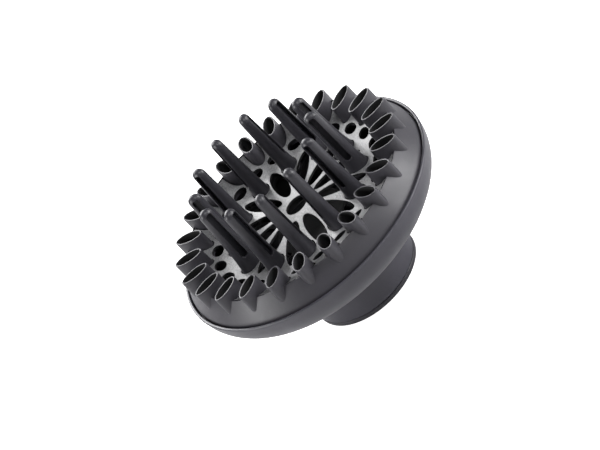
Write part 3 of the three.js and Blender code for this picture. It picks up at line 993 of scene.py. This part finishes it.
class DIFFUSER_OT_liner(bpy.types.Operator):
    """Model the sleeve that goes over the nozzle, with its end ring and clip windows"""

    bl_idname = "diffuser.liner"
    bl_label = "Neck Liner"

    def execute(self, context):
        top = top_of("neck_liner") / MM
        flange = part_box("neck_liner")[1].x / MM
        outline = [
            (27.6, 0.0),
            (flange - 0.7, 0.0),
            (flange - 0.2, 0.25),
            (flange, 0.8),
            (flange, 2.2),
            (flange - 0.25, 2.65),
            (28.5, 2.65),
            (28.5, 29.1),
            (27.6, 29.1),
            (27.6, 30.9),
            (28.5, 30.9),
            (28.5, top),
            (25.0, top),
            (25.0, top - 1.8),
            (27.0, top - 1.8),
            (27.0, 0.8),
        ]
        piece = eased(as_object("liner", turned(outline, NECK_STEPS)), 0.12)
        window = block(6.0, 8.0, 27.0, 5.6, 20.6)
        cut(piece, arrayed(window, QUARTERS, CLIP_TURN))
        finished(piece, "sleeve", "liner_grey", material("Liner moulding"), "neck_liner")
        return {"FINISHED"}


class DIFFUSER_OT_clips(bpy.types.Operator):
    """Model the spring tongues that lock on the nozzle"""

    bl_idname = "diffuser.clips"
    bl_label = "Nozzle Clips"

    def execute(self, context):
        spring = [(26.7, 6.0), (27.7, 6.0), (27.7, 20.0), (26.7, 20.0)]
        barb = [(25.7, 18.4), (25.7, 17.4), (26.7, 14.0)]
        bm = bmesh.new()
        corners = [bm.verts.new((r * MM, -3.6 * MM, z * MM)) for r, z in spring + barb]
        face = bm.faces.new(corners)
        made = bmesh.ops.extrude_face_region(bm, geom=[face])["geom"]
        far = [v for v in made if isinstance(v, bmesh.types.BMVert)]
        bmesh.ops.translate(bm, verts=far, vec=(0.0, 7.2 * MM, 0.0))
        bmesh.ops.recalc_face_normals(bm, faces=bm.faces)
        piece = eased(as_object("clip_pattern", bm), 0.15, 2, 25.0)
        copies(
            [f"nozzle_clip_piece_{i + 1}" for i in range(QUARTERS)],
            piece.data,
            CLIP_TURN,
            math.tau / QUARTERS,
            lambda i: f"nozzle_clip_{i + 1}",
            body="sleeve",
            slot="clip_black",
            look=material("Clip black"),
        )
        bpy.data.objects.remove(piece)
        return {"FINISHED"}


class DIFFUSER_OT_retaining_ring(bpy.types.Operator):
    """Model the split steel ring that keeps the liner in the neck"""

    bl_idname = "diffuser.retaining_ring"
    bl_label = "Retaining Ring"

    def execute(self, context):
        low, high = bottom_of("retaining_ring") / MM, top_of("retaining_ring") / MM
        gap = math.radians(7.7)
        bm = bmesh.new()
        section = [(27.9, low), (32.25, low), (32.25, high), (27.9, high)]
        corners = [bm.verts.new((r * MM, 0.0, z * MM)) for r, z in section]
        face = bm.faces.new(corners)
        bmesh.ops.spin(
            bm,
            geom=[face],
            cent=(0.0, 0.0, 0.0),
            axis=(0.0, 0.0, 1.0),
            angle=math.tau - gap,
            steps=NECK_STEPS,
        )
        bmesh.ops.recalc_face_normals(bm, faces=bm.faces)
        piece = eased(as_object("snap_ring", swung(bm, gap / 2)), 0.12, 2, 50.0)
        finished(piece, "sleeve", "spring_steel", material("Spring steel"), "retaining_ring")
        return {"FINISHED"}


# ---- The stage --------------------------------------------------------------------------


def softbox(name, direction, distance, size, power, target):
    """A square area light that faces a target."""
    light = bpy.data.lights.new(name, "AREA")
    light.shape = "RECTANGLE"
    light.size, light.size_y = size
    light.energy = power
    lamp = bpy.data.objects.new(name, light)
    way = Vector(direction).normalized()
    facing = (-way).to_track_quat("-Z", "Y").to_matrix().to_4x4()
    lamp.matrix_world = Matrix.Translation(target + way * distance) @ facing
    bpy.context.scene.collection.objects.link(lamp)


def pale_floor():
    """A white floor that looks bright, and that throws only the lamps' light back."""
    bm = bmesh.new()
    bmesh.ops.create_grid(bm, x_segments=1, y_segments=1, size=30.0)
    floor = as_object("floor", bm)
    floor.data.transform(Matrix.Translation((0.0, 0.0, -0.0002)))
    paper = bpy.data.materials.new("Paper floor")
    paper.use_nodes = True
    shader = paper.node_tree.nodes["Principled BSDF"]
    shader.inputs["Base Color"].default_value = (0.8, 0.8, 0.8, 1.0)
    shader.inputs["Roughness"].default_value = 0.9
    shader.inputs["Emission Color"].default_value = (1.0, 1.0, 1.0, 1.0)
    sight = paper.node_tree.nodes.new("ShaderNodeLightPath")
    glow = ramp(paper.node_tree, sight.outputs["Is Camera Ray"], 0.0, 1.0)
    paper.node_tree.links.new(glow, shader.inputs["Emission Strength"])
    floor.data.materials.append(paper)


def studio_world():
    world = bpy.data.worlds.new("Studio")
    world.use_nodes = True
    background = world.node_tree.nodes["Background"]
    background.inputs["Color"].default_value = (1.0, 1.0, 1.0, 1.0)
    background.inputs["Strength"].default_value = 0.02
    return world


class DIFFUSER_OT_stage(bpy.types.Operator):
    """Set up the floor, the soft lights and the camera"""

    bl_idname = "diffuser.stage"
    bl_label = "Stage"

    def execute(self, context):
        scene = context.scene
        scene.view_settings.view_transform = "Standard"
        pale_floor()
        scene.world = studio_world()
        middle = Vector((0.0, 0.0, 0.055))
        softbox("Back softbox", (-0.06, 0.86, 0.5), 1.1, (0.9, 0.6), 17.0, middle)
        softbox("Right softbox", (0.84, -0.38, 0.38), 1.1, (0.8, 0.6), 12.0, middle)
        softbox("Left softbox", (-0.92, 0.13, 0.38), 1.1, (0.5, 0.5), 7.0, middle)
        softbox("Front softbox", (0.1, -0.5, 0.86), 1.1, (0.5, 0.4), 3.6, middle)
        place_camera(scene)
        return {"FINISHED"}


def place_camera(scene):
    """The camera looks down on the dish from the front, turned so that the prongs point up
    and to the left."""
    azimuth, elevation, roll = (math.radians(angle) for angle in (-12.23, 31.41, -44.22))
    back = Vector(
        (
            math.sin(azimuth) * math.cos(elevation),
            -math.cos(azimuth) * math.cos(elevation),
            math.sin(elevation),
        )
    )
    turn = (-back).to_track_quat("-Z", "Y").to_matrix().to_4x4() @ Matrix.Rotation(roll, 4, "Z")
    aim = Vector((0.0, 0.0, scene.diffuser_sizes.tube_mouth_height))
    offset = turn @ Vector((0.00851, -0.01708, 1.275))
    camera = bpy.data.cameras.new("Camera")
    camera.lens = 152.4
    camera.sensor_width = 36.0
    camera.clip_start, camera.clip_end = 0.05, 100.0
    holder = bpy.data.objects.new("Camera", camera)
    holder.matrix_world = Matrix.Translation(aim + offset) @ turn
    scene.collection.objects.link(holder)
    scene.camera = holder


class DIFFUSER_OT_finishes(bpy.types.Operator):
    """Make the mouldings' and metals' materials"""

    bl_idname = "diffuser.finishes"
    bl_label = "Finishes"

    def execute(self, context):
        colors = context.scene.diffuser_finishes
        moulded_surface()
        handled_surface()
        shade_split_faces()
        # The inner pieces' colour is also painted as shade inside the bowl, in the tube bores and on the
        # dish's hole walls and underside.
        shade_split(moulding("Bowl moulding", colors.bowl, 0.4), colors.inside)
        shade_split(moulding("Face moulding", colors.face, 0.45), colors.inside)
        moulding("Prong moulding", colors.prong, 0.4, grain=0.5, depth=0.000015)
        dish = moulding("Dish satin", colors.dish, 0.42, rubbed=1.15, grain=1.4)
        shade_split(dish, colors.inside, speckle=0.35)
        moulding("Inner black", colors.inside, 0.8, shine=0.15, amount=0.2)
        moulding("Liner moulding", tuple(c * 0.8 for c in colors.face), 0.42)
        moulding("Clip black", tuple(c * 2.0 for c in colors.inside), 0.45)
        turned_steel("Plated steel", colors.steel, 0.3)
        turned_steel("Spring steel", tuple(c * 0.9 for c in colors.steel), 0.22)
        return {"FINISHED"}


# ---- Add-on -----------------------------------------------------------------------------

PIECE_OPERATORS = (
    DIFFUSER_OT_bowl,
    DIFFUSER_OT_face_ring,
    DIFFUSER_OT_dish,
    DIFFUSER_OT_prongs,
    DIFFUSER_OT_carrier,
    DIFFUSER_OT_deflector,
    DIFFUSER_OT_screws,
    DIFFUSER_OT_liner,
    DIFFUSER_OT_clips,
    DIFFUSER_OT_retaining_ring,
)


class DIFFUSER_PT_panel(bpy.types.Panel):
    """The diffuser's sizes, finishes and pieces"""

    bl_label = "Diffuser"
    bl_idname = "DIFFUSER_PT_panel"
    bl_space_type = "VIEW_3D"
    bl_region_type = "UI"
    bl_category = "Diffuser"

    def draw(self, context):
        layout = self.layout
        for group in (context.scene.diffuser_sizes, context.scene.diffuser_finishes):
            column = layout.column(align=True)
            for name in group.bl_rna.properties.keys():
                if name not in ("rna_type", "name"):
                    column.prop(group, name)
        column = layout.column(align=True)
        for operator in (DIFFUSER_OT_finishes, *PIECE_OPERATORS, DIFFUSER_OT_stage):
            column.operator(operator.bl_idname)


CLASSES = (
    DiffuserSizes,
    DiffuserFinishes,
    DIFFUSER_OT_finishes,
    *PIECE_OPERATORS,
    DIFFUSER_OT_stage,
    DIFFUSER_PT_panel,
)


def register():
    for cls in CLASSES:
        bpy.utils.register_class(cls)
    bpy.types.Scene.diffuser_sizes = bpy.props.PointerProperty(type=DiffuserSizes)
    bpy.types.Scene.diffuser_finishes = bpy.props.PointerProperty(type=DiffuserFinishes)


def unregister():
    del bpy.types.Scene.diffuser_finishes
    del bpy.types.Scene.diffuser_sizes
    for cls in reversed(CLASSES):
        bpy.utils.unregister_class(cls)


def main():
    register()
    bpy.ops.diffuser.finishes()
    bpy.ops.diffuser.bowl()
    bpy.ops.diffuser.face_ring()
    bpy.ops.diffuser.dish()
    bpy.ops.diffuser.prongs()
    bpy.ops.diffuser.carrier()
    bpy.ops.diffuser.deflector()
    bpy.ops.diffuser.screws()
    bpy.ops.diffuser.liner()
    bpy.ops.diffuser.clips()
    bpy.ops.diffuser.retaining_ring()
    bpy.ops.diffuser.stage()


if __name__ == "__main__":
    main()
